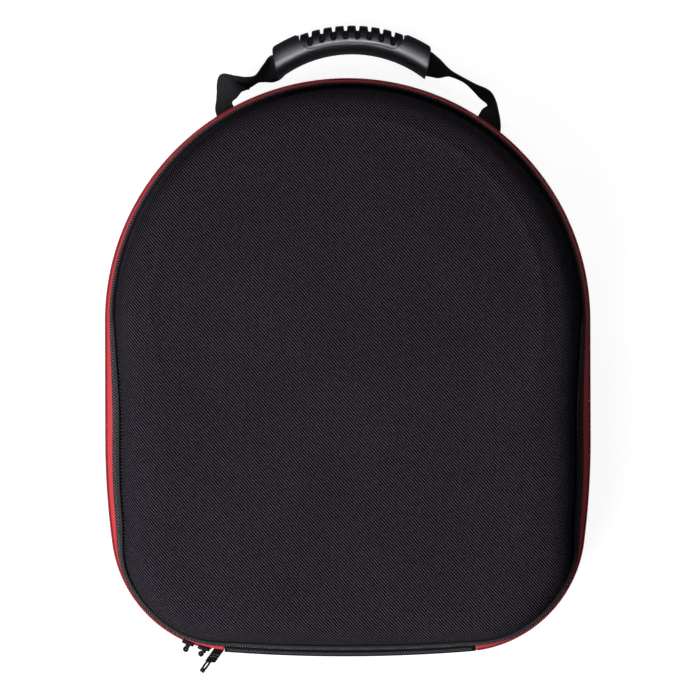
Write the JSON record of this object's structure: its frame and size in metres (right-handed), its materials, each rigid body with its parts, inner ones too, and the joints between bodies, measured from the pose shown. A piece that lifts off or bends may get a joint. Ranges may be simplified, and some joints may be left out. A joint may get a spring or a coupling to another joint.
{
  "type": "cable storage bag",
  "caption": "Hard-shell cable storage bag lying on its back: arched cloth-covered halves, red zip round the edge, hinge tape at the bottom and a ribbed grip on a webbing strap.",
  "frame": {"origin": "centre of the flat back face that the case lies on", "axes": "+Z out of the front face, +Y from the hinge tape to the handle, +X to the right seen from the front"},
  "size_m": [0.34, 0.459, 0.112],
  "materials": {
    "shell_cloth": "coarse charcoal-black woven cloth laminated on moulded foam",
    "zip_red": "red woven zip tape and red coil teeth",
    "black_tape": "black twill tape and webbing",
    "black_metal": "black painted zinc",
    "grip_plastic": "satin blue-black moulded plastic",
    "pad_rubber": "soft black moulded rubber with ribs"
  },
  "bodies": {
    "case": {"front_shell": "shell_cloth", "back_shell": "shell_cloth", "zip_tape_front": "zip_red", "zip_tape_back": "zip_red", "zip_chain": "zip_red", "hinge_tape": "black_tape", "zip_slider_1": "black_metal", "zip_slider_2": "black_metal", "lock_tab": "black_tape", "lock_loop": "black_metal", "handle_strap": "black_tape", "handle_grip": "grip_plastic", "grip_pad": "pad_rubber"},
    "pull_1": {"zip_pull_1": "black_metal"},
    "pull_2": {"zip_pull_2": "black_metal"}
  },
  "joints": [
    {"name": "pull_1_swing", "type": "hinge", "parent": "case", "child": "pull_1", "pos_m": [-0.11271, -0.19506, 0.056], "axis": [0, 0, 1], "range_deg": [-53, 67]},
    {"name": "pull_2_swing", "type": "hinge", "parent": "case", "child": "pull_2", "pos_m": [-0.10138, -0.19892, 0.056], "axis": [0, 0, 1], "range_deg": [-23, 97]}
  ]
}
